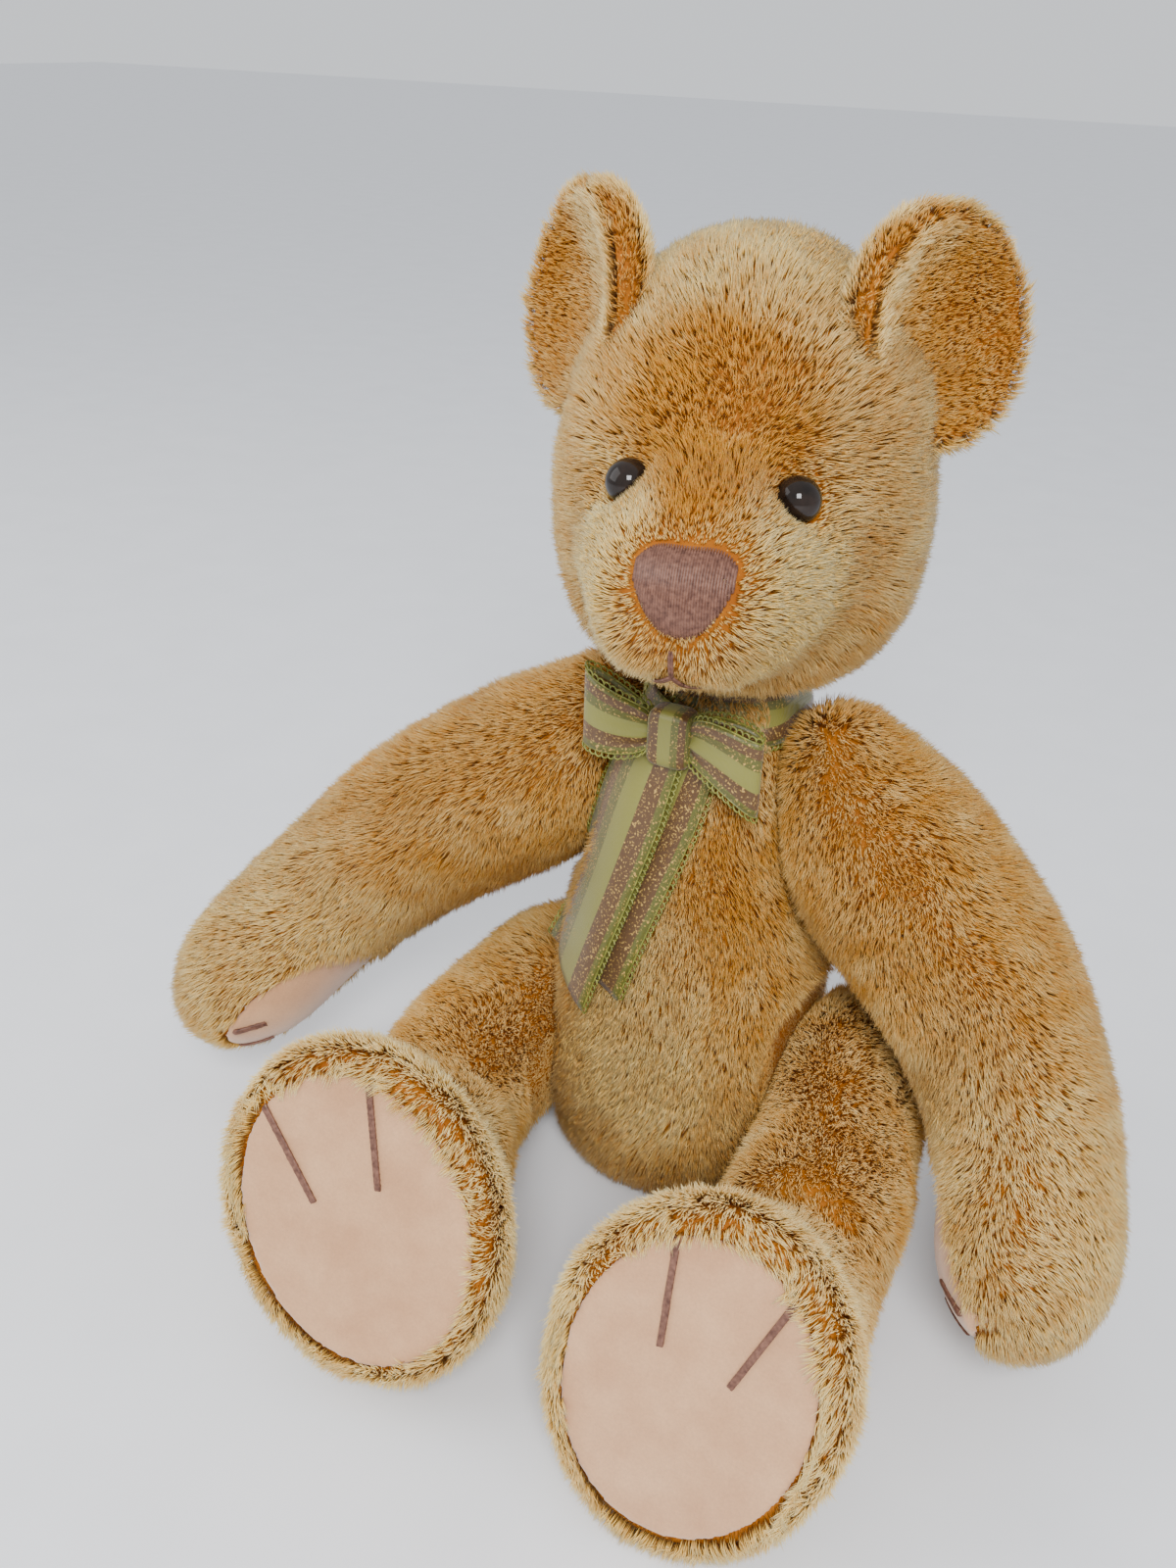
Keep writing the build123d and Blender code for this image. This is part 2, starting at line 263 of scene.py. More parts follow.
def colour_ramp(tree, source, stops, sharp=False):
    """A colour ramp node from (position, colour) pairs."""
    made = tree.nodes.new("ShaderNodeValToRGB")
    ramp_data = made.color_ramp
    ramp_data.interpolation = "CONSTANT" if sharp else "LINEAR"
    while len(ramp_data.elements) < len(stops):
        ramp_data.elements.new(0.5)
    for element, (position, colour) in zip(ramp_data.elements, stops):
        element.position = position
        element.color = (*colour, 1)
    tree.links.new(source, made.inputs["Fac"])
    return made.outputs["Color"]


def blend_colours(tree, factor, a, b, mode="MIX"):
    made = tree.nodes.new("ShaderNodeMix")
    made.data_type = "RGBA"
    made.blend_type = mode
    for socket, value in ((made.inputs[0], factor), (made.inputs[6], a), (made.inputs[7], b)):
        if isinstance(value, bpy.types.NodeSocket):
            tree.links.new(value, socket)
        elif isinstance(value, tuple):
            socket.default_value = (*value, 1)
        else:
            socket.default_value = value
    return made.outputs[2]


def bump(tree, shader, height, strength, distance):
    made = node(tree, "ShaderNodeBump", {"Strength": strength, "Distance": distance}, Height=height)
    tree.links.new(made.outputs["Normal"], shader.inputs["Normal"])


def object_coords(tree):
    return node(tree, "ShaderNodeTexCoord").outputs["Object"]


def noise(tree, at, scale, **settings):
    """The grey output of a noise texture."""
    values = {"Scale": scale, **settings}
    return node(tree, "ShaderNodeTexNoise", values, Vector=at).outputs["Fac"]


def fur_material():
    """Mohair fibres: dark gold roots to straw tips, u picks the tone of a fibre, which holds random
    tone and painted sheen and shade.
    """
    made, tree, shader = material("mohair_pile")
    uv = node(tree, "ShaderNodeUVMap", {"uv_map": "OFBake"}).outputs["UV"]
    parts = node(tree, "ShaderNodeSeparateXYZ", Vector=uv)
    deep = colour_ramp(tree, parts.outputs["Y"], [
        (0.0, (0.20, 0.05, 0.002)),
        (0.45, (0.40, 0.135, 0.005)),
        (0.8, (0.55, 0.235, 0.012)),
        (1.0, (0.72, 0.40, 0.05)),
    ])
    pale = colour_ramp(tree, parts.outputs["Y"], [
        (0.0, (0.38, 0.15, 0.008)),
        (0.45, (0.76, 0.50, 0.12)),
        (0.8, (0.90, 0.73, 0.33)),
        (1.0, (0.95, 0.86, 0.56)),
    ])
    tree.links.new(blend_colours(tree, parts.outputs["X"], deep, pale), shader.inputs["Base Color"])
    shader.inputs["Roughness"].default_value = 0.42
    shader.inputs["Specular IOR Level"].default_value = 0.35
    shader.inputs["Sheen Weight"].default_value = 0.12
    shader.inputs["Sheen Tint"].default_value = (1.0, 0.85, 0.5, 1)
    shader.inputs["Sheen Roughness"].default_value = 0.4
    return made


def backing_material():
    """The woven ground under the pile: orange gold, with a grid of bright stitches."""
    made, tree, shader = material("mohair_backing")
    at = object_coords(tree)
    cloud = noise(tree, at, 90.0, Detail=4.0)
    ground = colour_ramp(tree, cloud, [(0.3, (0.26, 0.07, 0.003)), (0.7, (0.38, 0.125, 0.006))])
    grid = {"Scale": 800.0, "Randomness": 0.25}
    dots = node(tree, "ShaderNodeTexVoronoi", grid, Vector=at).outputs["Distance"]
    spot = colour_ramp(tree, dots, [(0.10, (1, 1, 1)), (0.24, (0, 0, 0))])
    tree.links.new(blend_colours(tree, spot, ground, (0.80, 0.38, 0.06)), shader.inputs["Base Color"])
    bump(tree, shader, spot, 0.5, 0.0004)
    shader.inputs["Roughness"].default_value = 0.7
    shader.inputs["Specular IOR Level"].default_value = 0.15
    return made


def suede_material():
    made, tree, shader = material("suede")
    at = object_coords(tree)
    cloud = noise(tree, at, 70.0, Detail=5.0, Roughness=0.6)
    nap = noise(tree, at, 1400.0, Detail=4.0, Roughness=0.7)
    base = colour_ramp(tree, cloud, [(0.3, (0.50, 0.245, 0.105)), (0.72, (0.62, 0.34, 0.165))])
    fleck = colour_ramp(tree, nap, [(0.25, (0.80, 0.80, 0.80)), (0.75, (1.0, 1.0, 1.0))])
    tree.links.new(blend_colours(tree, 1.0, base, fleck, "MULTIPLY"), shader.inputs["Base Color"])
    bump(tree, shader, nap, 0.35, 0.0003)
    shader.inputs["Roughness"].default_value = 0.95
    shader.inputs["Sheen Weight"].default_value = 0.5
    shader.inputs["Sheen Roughness"].default_value = 0.6
    return made


def thread_material():
    """Embroidery floss: fine twisted strands, dark plum brown."""
    made, tree, shader = material("embroidery_thread")
    at = object_coords(tree)
    twist = noise(tree, at, 900.0, Detail=3.0)
    base = colour_ramp(tree, twist, [(0.3, (0.070, 0.026, 0.016)), (0.7, (0.19, 0.085, 0.055))])
    tree.links.new(base, shader.inputs["Base Color"])
    bump(tree, shader, twist, 0.4, 0.0002)
    shader.inputs["Roughness"].default_value = 0.5
    shader.inputs["Specular IOR Level"].default_value = 0.35
    return made


def eye_material():
    made, tree, shader = material("eye_glass")
    at = object_coords(tree)
    haze = noise(tree, at, 250.0, Detail=2.0)
    tree.links.new(
        colour_ramp(tree, haze, [(0.3, (0.006, 0.004, 0.003)), (0.8, (0.022, 0.013, 0.009))]),
        shader.inputs["Base Color"],
    )
    shader.inputs["Roughness"].default_value = 0.04
    shader.inputs["Specular IOR Level"].default_value = 0.3
    return made


def ribbon_material():
    """Woven stripes: u runs across the ribbon, v along it."""
    made, tree, shader = material("striped_ribbon")
    uv = node(tree, "ShaderNodeUVMap", {"uv_map": "OFBake"}).outputs["UV"]
    across = node(tree, "ShaderNodeSeparateXYZ", Vector=uv).outputs["X"]
    olive, brown, satin = (0.085, 0.085, 0.006), (0.085, 0.036, 0.006), (0.20, 0.19, 0.03)
    stripes = colour_ramp(tree, across, [
        (0.0, olive), (0.10, brown), (0.33, satin), (0.62, olive), (0.78, brown), (0.92, olive),
    ], sharp=True)
    white, black = (1, 1, 1), (0, 0, 0)
    plain = colour_ramp(tree, across, [(0.0, white), (0.33, black), (0.62, white)], sharp=True)
    at = object_coords(tree)
    glint = noise(tree, at, 1500.0, Detail=1.0)
    lurex = colour_ramp(tree, glint, [(0.58, (0, 0, 0)), (0.70, (1, 1, 1))])
    where = blend_colours(tree, 1.0, plain, lurex, "MULTIPLY")
    tree.links.new(blend_colours(tree, where, stripes, (0.50, 0.31, 0.07)), shader.inputs["Base Color"])
    ribs = {"Scale": 900.0, "Distortion": 0.5}
    weave = node(tree, "ShaderNodeTexWave", ribs, Vector=at).outputs["Fac"]
    bump(tree, shader, weave, 0.35, 0.0002)
    shader.inputs["Roughness"].default_value = 0.38
    shader.inputs["Sheen Weight"].default_value = 0.2
    return made


def picot_material():
    made, tree, shader = material("picot_edge")
    at = object_coords(tree)
    mix = noise(tree, at, 600.0)
    base = colour_ramp(tree, mix, [(0.3, (0.09, 0.10, 0.01)), (0.7, (0.24, 0.24, 0.04))])
    tree.links.new(base, shader.inputs["Base Color"])
    bump(tree, shader, mix, 0.3, 0.0001)
    shader.inputs["Roughness"].default_value = 0.4
    return made


def plain_material(name, dark, light, scale, roughness, metallic=0.0):
    """A lightly mottled material for the pieces inside the bear."""
    made, tree, shader = material(name)
    at = object_coords(tree)
    mottle = noise(tree, at, scale, Detail=5.0)
    tree.links.new(colour_ramp(tree, mottle, [(0.3, dark), (0.7, light)]), shader.inputs["Base Color"])
    bump(tree, shader, mottle, 0.2, 0.0003)
    shader.inputs["Roughness"].default_value = roughness
    shader.inputs["Metallic"].default_value = metallic
    return made


fur_look = fur_material()
backing_look = backing_material()
suede_look = suede_material()
thread_look = thread_material()
eye_look = eye_material()
ribbon_look = ribbon_material()
picot_look = picot_material()
NODE_LOOKS = {
    "stuffing": plain_material("stuffing_fibre", (0.62, 0.57, 0.46), (0.86, 0.82, 0.72), 300.0, 0.9),
    "board": plain_material("hardboard", (0.20, 0.11, 0.055), (0.36, 0.22, 0.12), 500.0, 0.75),
    "steel": plain_material("steel_wire", (0.42, 0.42, 0.41), (0.62, 0.62, 0.60), 700.0, 0.35, 1.0),
    "eye_glass": eye_look,
    "mohair": backing_look,
    "suede": suede_look,
    "embroidery": thread_look,
    "ribbon": picot_look,
}
for part in frame["record"]["subparts"]:
    mesh = nodes[part["node"]].data
    mesh.materials.clear()
    mesh.materials.append(NODE_LOOKS[part["material_slot"]])


# ---------------------------------------------------------------- stuffed skins
FACE_RADIUS = {"neck": 40 * MM, "shoulder": 31 * MM, "hip": 36 * MM}
LIMB_FACE = 46 * MM
FACE_GAP = 0.3 * MM
SKIN_CAP = 0.7 * MM


def joint_faces(body):
    """(centre, axis pointing into the body, radius) of each flat joint face on a body."""
    found = []
    for joint in frame["joints"]:
        if body not in (joint["parent"], joint["child"]):
            continue
        centre = np.array(joint["pos_m"])
        axis = unit(np.array(joint["axis"]))
        is_torso = body == joint["parent"]
        radius = FACE_RADIUS[joint["name"].split("_")[0]] if is_torso else LIMB_FACE
        found.append((centre, -axis if is_torso else axis, radius))
    return found


def face_distance(p, body):
    """How far each point is inside the nearest joint face of its body."""
    nearest = np.full(len(p), 1.0)
    for centre, axis, radius in joint_faces(body):
        off = p - centre
        depth = off @ axis
        across = np.linalg.norm(off - depth[:, None] * axis, axis=1)
        nearest = np.where(across < radius, np.minimum(nearest, np.abs(depth)), nearest)
    return nearest


def face_reach(p, body):
    """How far each point is from the axis of the joint face it lies on."""
    reach = np.zeros(len(p))
    for centre, axis, radius in joint_faces(body):
        off = p - centre
        depth = off @ axis
        across = np.linalg.norm(off - depth[:, None] * axis, axis=1)
        reach = np.where((across < radius) & (np.abs(depth) < 3 * MM), across, reach)
    return reach


def clear_of_faces(p, body, gap):
    """Push points that crossed a joint face back to their own side."""
    p = p.copy()
    for centre, axis, radius in joint_faces(body):
        off = p - centre
        depth = off @ axis
        across = np.linalg.norm(off - depth[:, None] * axis, axis=1)
        over = (across < radius + 6 * MM) & (depth < gap) & (depth > -8 * MM)
        p[over] += (gap - depth[over])[:, None] * axis
    return p


def largest_piece(obj):
    """Keep only the biggest connected part of a mesh."""
    mesh = obj.data
    edges = np.empty(len(mesh.edges) * 2, np.int64)
    mesh.edges.foreach_get("vertices", edges)
    a, b = edges.reshape(-1, 2).T
    label = np.arange(len(mesh.vertices))
    while True:
        lowest = np.minimum(label[a], label[b])
        new = label.copy()
        np.minimum.at(new, a, lowest)
        np.minimum.at(new, b, lowest)
        new = new[new]
        if (new == label).all():
            break
        label = new
    keep = label == np.bincount(label).argmax()
    quads = np.array([p.vertices[:] for p in mesh.polygons if len(p.vertices) == 4])
    quads = quads[keep[quads].all(1)]
    order = np.cumsum(keep) - 1
    obj.data = mesh_from(mesh.name, points_of(mesh)[keep], order[quads])


def inflate(obj, pinned):
    """Blow the stuffed skin up a little with the cloth solver; the joint faces stay put."""
    scene = bpy.context.scene
    before = points_of(obj.data)
    group = obj.vertex_groups.new(name="pinned")
    group.add([int(i) for i in np.flatnonzero(pinned)], 1.0, "REPLACE")
    cloth = obj.modifiers.new("cloth", "CLOTH")
    cloth.settings.use_pressure = True
    cloth.settings.uniform_pressure_force = 4
    cloth.settings.effector_weights.gravity = 0
    cloth.settings.vertex_group_mass = "pinned"
    cloth.collision_settings.use_collision = False
    for step in range(1, 16):
        scene.frame_set(step)
    apply_modifiers(obj)
    obj.vertex_groups.clear()
    scene.frame_set(1)
    move = points_of(obj.data) - before
    size = np.linalg.norm(move, axis=1, keepdims=True)
    set_points(obj.data, before + move * np.minimum(1, SKIN_CAP / np.maximum(size, 1e-9)))


def stuffed_skin(name, body, sources, voxel):
    """A padded mohair skin made from CAD solids, swollen by its stuffing."""
    obj = merged(name, sources)
    remesh(obj, voxel)
    largest_piece(obj)
    smooth(obj, 2)
    inflate(obj, face_distance(points_of(obj.data), body) < 3 * MM)
    subdivide = obj.modifiers.new("subdivide", "SUBSURF")
    subdivide.levels = 1
    apply_modifiers(obj)
    co = clear_of_faces(points_of(obj.data), body, FACE_GAP)
    co[:, 2] = np.maximum(co[:, 2], 0)
    set_points(obj.data, co)
    obj.data.materials.clear()
    obj.data.materials.append(backing_look)
    obj.data.polygons.foreach_set("use_smooth", [True] * len(obj.data.polygons))
    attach(obj, body)
    return obj


def inside_of(body):
    """The nodes that fill a body's skin, hidden joint discs included."""
    return [n for n in bodies[body] if n.endswith(("_cover", "_stuffing", "_disc"))]


skins = {}
for body in bodies:
    skins[body] = stuffed_skin(f"{body}_skin", body, inside_of(body), 3.0 * MM)
    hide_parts(f"{body}_cover")
for side in ("left", "right"):
    skins[f"ear_{side}"] = stuffed_skin(f"ear_{side}_skin", "head", [f"ear_{side}"], 1.6 * MM)
    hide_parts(f"ear_{side}")
for body in bodies:
    stuffing = merged(f"{body}_filling", [f"{body}_stuffing"])
    remesh(stuffing, 4 * MM)
    smooth(stuffing, 2)
    set_points(stuffing.data, points_of(stuffing.data) - normals_of(stuffing.data) * 1.5 * MM)
    stuffing.data.materials.clear()
    stuffing.data.materials.append(NODE_LOOKS["stuffing"])
    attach(stuffing, body)
    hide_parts(f"{body}_stuffing")
bpy.context.view_layer.update()


# ---------------------------------------------------------------- suede pads
def rolled(name, node_name, look, voxel, rounds):
    """A CAD piece with its sharp rim rolled over."""
    obj = merged(name, [node_name])
    remesh(obj, voxel)
    smooth(obj, rounds)
    obj.data.materials.clear()
    obj.data.materials.append(look)
    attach(obj, body_of_node[node_name])
    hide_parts(node_name)
    return obj


PADS = {
    "arm_left_paw_pad": "paw_pad_left",
    "arm_right_paw_pad": "paw_pad_right",
    "leg_left_foot_pad": "foot_pad_left",
    "leg_right_foot_pad": "foot_pad_right",
}
pads = {
    source: rolled(name, source, suede_look, 0.8 * MM, 4)
    for source, name in PADS.items()
}
LIMBS = ("arm_left", "arm_right", "leg_left", "leg_right")
CLAWS = {f"{limb}_claws": f"{limb}_claw_stitches" for limb in LIMBS}
for source, name in CLAWS.items():
    rolled(name, source, thread_look, 0.35 * MM, 1)


# ---------------------------------------------------------------- nose and mouth
def head_point(x, y, z):
    """A point given for the head looking straight ahead, in millimetres, turned with the head."""
    p = Vector((x, y, z)) * MM - NECK
    p.rotate(Matrix.Rotation(HEAD_YAW, 3, "Z"))
    return p + NECK


AHEAD = Vector((math.sin(HEAD_YAW), -math.cos(HEAD_YAW), 0))
head_tree = bvh_of(skins["head"])


def on_face(x, z, lift):
    """The point on the front of the head at x, z, lifted off the skin."""
    start = head_point(x, -100, z)
    hit = head_tree.ray_cast(start, -AHEAD)[0]
    return (hit if hit else head_point(x, -60, z)) + AHEAD * lift * MM


def satin_nose():
    """Upright satin stitches that fill a rounded shield."""
    paths = []
    half, step = 11.2, 0.62
    count = int(2 * half / step) + 1
    for i in range(count):
        across = -half + i * step
        x = across + 0.9
        t = abs(across) / half
        top = 218.3 - 3.6 * t ** 4
        low = 198.0 + 11.5 * t ** 2.4
        crown = 2.6 - 1.5 * t ** 2
        along = np.linspace(0, 1, 12)
        path = []
        for s in along:
            lift = crown * (0.35 + 0.65 * math.sin(math.pi * s) ** 0.5)
            path.append(on_face(x, low + (top - low) * s, lift))
        paths.append(path)
    return paths


def stitch(points, lift=3.4, strands=2, gap=0.55):
    """A few parallel threads along x, z corner points on the face."""
    paths = []
    for k in range(strands):
        shift = (k - (strands - 1) / 2) * gap
        fine = []
        for (x0, z0), (x1, z1) in zip(points, points[1:]):
            length = math.hypot(x1 - x0, z1 - z0)
            side_x, side_z = (z1 - z0) / length * shift, -(x1 - x0) / length * shift
            for s in np.linspace(0, 1, 7):
                fine.append(on_face(x0 + (x1 - x0) * s + side_x, z0 + (z1 - z0) * s + side_z, lift))
        paths.append(fine)
    return paths


NOSE_THREAD = 0.52 * MM
MOUTH_THREAD = 0.4 * MM
nose_mesh = tube_mesh("nose_stitches", satin_nose(), NOSE_THREAD)
nose = new_object("nose_stitches", nose_mesh, thread_look, "head")
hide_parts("nose")
down_and_left = [(0, 196), (0, 188.5), (2, 185.5), (6.5, 181.5)]
short_right = [(0, 188.5), (-3, 186), (-6, 184)]
mouth_mesh = tube_mesh("mouth_threads", stitch(down_and_left) + stitch(short_right), MOUTH_THREAD)
mouth = new_object("mouth_threads", mouth_mesh, thread_look, "head")
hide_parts("mouth_stitches")


# ---------------------------------------------------------------- ribbon
torso_tree = bvh_of(skins["torso"])
RIBBON = 24 * MM
CLOTH_THICK = 0.4 * MM


def grid_sheet(name, rows):
    """A thin sheet from rows of points, u across the ribbon and v along it."""
    rows = np.array(rows, float)
    long, wide = rows.shape[:2]
    uvs = [(j / (wide - 1), i / (long - 1)) for i in range(long) for j in range(wide)]
    faces = [
        (i * wide + j, i * wide + j + 1, (i + 1) * wide + j + 1, (i + 1) * wide + j)
        for i in range(long - 1) for j in range(wide - 1)
    ]
    obj = new_object(name, mesh_from(name, rows.reshape(-1, 3), faces, uvs), ribbon_look)
    thick = obj.modifiers.new("thickness", "SOLIDIFY")
    thick.thickness = CLOTH_THICK
    thick.offset = 0
    apply_modifiers(obj)
    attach(obj, "torso")
    return obj


def picots(name, rows, spacing=1.9 * MM, size=1.0 * MM):
    """Little thread loops along both long edges of a ribbon."""
    rows = np.array(rows, float)
    paths = []
    for edge, inner in ((0, 1), (-1, -2)):
        line = rows[:, edge]
        outward = unit(line - rows[:, inner])
        travelled = np.concatenate([[0], np.cumsum(np.linalg.norm(np.diff(line, axis=0), axis=1))])
        for s in np.arange(spacing / 2, travelled[-1] - spacing / 2, spacing):
            at = np.array([np.interp(s, travelled, line[:, k]) for k in range(3)])
            out = unit(np.array([np.interp(s, travelled, outward[:, k]) for k in range(3)]))
            later = np.array([np.interp(s + 0.5 * MM, travelled, line[:, k]) for k in range(3)])
            ahead = unit(later - at)
            turn = np.linspace(-0.6 * math.pi, 0.6 * math.pi, 8)
            paths.append([
                at + out * size * (0.5 + math.cos(t)) + ahead * size * math.sin(t) for t in turn
            ])
    # A heavier cord covers the edge where the loops are woven in.
    for edge in (0, -1):
        paths.append(list(rows[:, edge]))
    obj = new_object(name, tube_mesh(name, paths, 0.27 * MM, 5), picot_look, "torso")
    return obj


def tail_rows(start, end, lift, fold_seed):
    """Rows of points of a tail that hangs over the fur of the chest."""
    start, end = np.array(start) * MM, np.array(end) * MM
    ahead = unit(end - start)
    across = np.array([-ahead[1], ahead[0]])
    rows = []
    y = -30 * MM
    for s in np.linspace(0, 1, 44):
        row = []
        for u in np.linspace(-0.5, 0.5, 13):
            spread = 0.72 + 0.28 * min(1, s * 3)
            x, z = start + (end - start) * s - across * u * RIBBON * spread
            hit = torso_tree.ray_cast(Vector((x, -0.2, z)), Vector((0, 1, 0)))[0]
            y = hit.y if hit else y + 1 * MM
            wave = math.sin(s * 7 + fold_seed) * 0.8 + math.sin(u * 5 + s * 4 + fold_seed) * 0.7
            row.append((x, y - (lift + wave * min(1, s * 4)) * MM, z))
        rows.append(row)
    rows = np.array(rows)
    for _ in range(6):
        rows[1:-1] = (rows[:-2] + 2 * rows[1:-1] + rows[2:]) / 4
    return rows


for name, start, end, lift, fold_seed in (
    ("ribbon_tail_front", (-6, 158), (-28, 71), 7.8, 0.4),
    ("ribbon_tail_back", (3, 156), (-18, 77), 5.0, 2.1),
):
    rows = tail_rows(start, end, lift, fold_seed)
    tail = grid_sheet(f"{name}_cloth", rows)
    edge = picots(f"{name}_picots", rows)
    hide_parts(name)
    length = float(np.linalg.norm(np.diff(rows[:, 6], axis=0), axis=1).sum())


def loop_rows(side, length, droop):
    """Rows of a bow loop that leaves the knot sideways."""
    rows = []
    for turn in np.linspace(0, 2 * math.pi, 40):
        out = length * (1 - math.cos(turn)) / 2
        puff = 4.2 * math.sin(turn) * (0.35 + 0.65 * out / length)
        half = 4.2 + 6.6 * math.sqrt(out / length)
        row = []
        for u in np.linspace(-1, 1, 11):
            gather = 0.9 * math.sin(u * 7) * (1 - out / length)
            x = -2 + side * (6 + out)
            y = -26 + puff + gather - 0.08 * out
            z = 152 + half * u - droop * (out / length) ** 2
            row.append((x * MM, y * MM, z * MM))
        rows.append(row)
    return np.array(rows)


for side, name, length, droop in ((1, "left", 21, 6), (-1, "right", 19, -4)):
    rows = loop_rows(side, length, droop)
    loop = grid_sheet(f"ribbon_loop_{name}_cloth", rows)
    edge = picots(f"ribbon_loop_{name}_picots", rows)
    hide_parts(f"ribbon_loop_{name}")


def collar_rows():
    """The band round the neck, pressed into the fur."""
    rows = []
    for turn in np.linspace(0, 2 * math.pi, 97):
        way = Vector((math.sin(turn), -math.cos(turn), 0))
        row = []
        for u in np.linspace(-1, 1, 9):
            z = (154.5 + 7.5 * u) * MM
            middle = Vector((0, 8 * MM, z))
            hit = torso_tree.ray_cast(middle + way * 0.09, -way)[0]
            reach = (hit - middle).length if hit else 0.03
            pleat = 0.5 * math.sin(u * 6 + turn * 5)
            row.append(middle + way * (reach + (2.6 + pleat) * MM))
        rows.append(row)
    rows[-1] = rows[0]
    return rows


rows = collar_rows()
collar = grid_sheet("ribbon_collar_cloth", rows)
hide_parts("ribbon_collar")
picots("ribbon_collar_picots", rows)

knot = rolled("ribbon_knot_cloth", "ribbon_knot", ribbon_look, 0.8 * MM, 6)
knot_co = points_of(knot.data)
knot_uv = knot.data.uv_layers.new(name="OFBake")
corner = np.empty(len(knot.data.loops), np.int32)
knot.data.loops.foreach_get("vertex_index", corner)
low, high = knot_co.min(0), knot_co.max(0)
knot_uv.data.foreach_set("uv", ((knot_co - low) / (high - low))[corner][:, [0, 2]].ravel())


# ---------------------------------------------------------------- mohair pile
STRANDS_PER_PIECE = 32000
STRANDS_PER_M2 = 3.2e6
PILE = 6.2 * MM
OPEN_FACE = 19 * MM      # a joint face may show from this far out, so it has pile
STRAND_HALF = 0.15 * MM

bare_pieces = [*pads.values(), nose, collar, nodes["eye_left"], nodes["eye_right"]]
bare_tree = bvh_of(*bare_pieces)
eye_tree = bvh_of(nodes["eye_left"], nodes["eye_right"], nose, mouth)


def distance_to(tree, points, far):
    """Distance of each point to a surface, up to far."""
    found = np.full(len(points), far)
    for i, p in enumerate(points):
        hit = tree.find_nearest(p, far)
        if hit[3] is not None:
            found[i] = hit[3]
    return found


def scatter(mesh, count, seed):
    """Random points on a mesh, with their smooth normals."""
    rng = np.random.default_rng(seed)
    mesh.calc_loop_triangles()
    tri = np.empty(len(mesh.loop_triangles) * 3, np.int32)
    mesh.loop_triangles.foreach_get("vertices", tri)
    tri = tri.reshape(-1, 3)
    co, no = points_of(mesh), normals_of(mesh)
    a, b, c = co[tri[:, 0]], co[tri[:, 1]], co[tri[:, 2]]
    area = np.linalg.norm(np.cross(b - a, c - a), axis=1) / 2
    pick = rng.choice(len(tri), count, p=area / area.sum())
    r1, r2 = np.sqrt(rng.random(count)), rng.random(count)
    weights = np.stack([1 - r1, r1 * (1 - r2), r1 * r2], 1)[:, :, None]
    corners = tri[pick]
    return (co[corners] * weights).sum(1), unit((no[corners] * weights).sum(1))


def area_of(mesh):
    return sum(p.area for p in mesh.polygons)


def clump_towards(roots, tips, share, every=7):
    """Pull the tips of neighbouring fibres together, so that the pile falls in tufts."""
    leaders = np.arange(0, len(roots), every)
    tree = KDTree(len(leaders))
    for i in leaders:
        tree.insert(roots[i], int(i))
    tree.balance()
    leader = np.array([tree.find(p)[1] for p in roots])
    return tips + (tips[leader] + (roots - roots[leader]) * 0.45 - tips) * share


def fibre_mesh(name, root, middle, tip, normal, half, tone):
    """Closed spindles: a root point, a ring of three and a tip point each."""
    count = len(root)
    way = unit(tip - root)
    side = unit(np.cross(way, normal) + 1e-6)
    lift = np.cross(side, way)
    verts = np.empty((count, 5, 3))
    verts[:, 0] = root - normal * 0.3 * MM
    for k in range(3):
        turn = 2 * math.pi * k / 3
        verts[:, 1 + k] = middle + (side * math.cos(turn) + lift * math.sin(turn)) * half[:, None]
    verts[:, 4] = tip
    uvs = np.empty((count, 5, 2))
    uvs[:, :, 0] = tone[:, None] + np.array([0, -0.004, 0, 0.004, 0])
    uvs[:, :, 1] = np.array([0, 0.45, 0.45, 0.45, 1.0])
    shape = np.array([(0, 2, 1), (0, 3, 2), (0, 1, 3), (4, 1, 2), (4, 2, 3), (4, 3, 1)])
    faces = (np.arange(count)[:, None, None] * 5 + shape).reshape(-1, 3)
    return mesh_from(name, verts.reshape(-1, 3), faces, uvs.reshape(-1, 2))


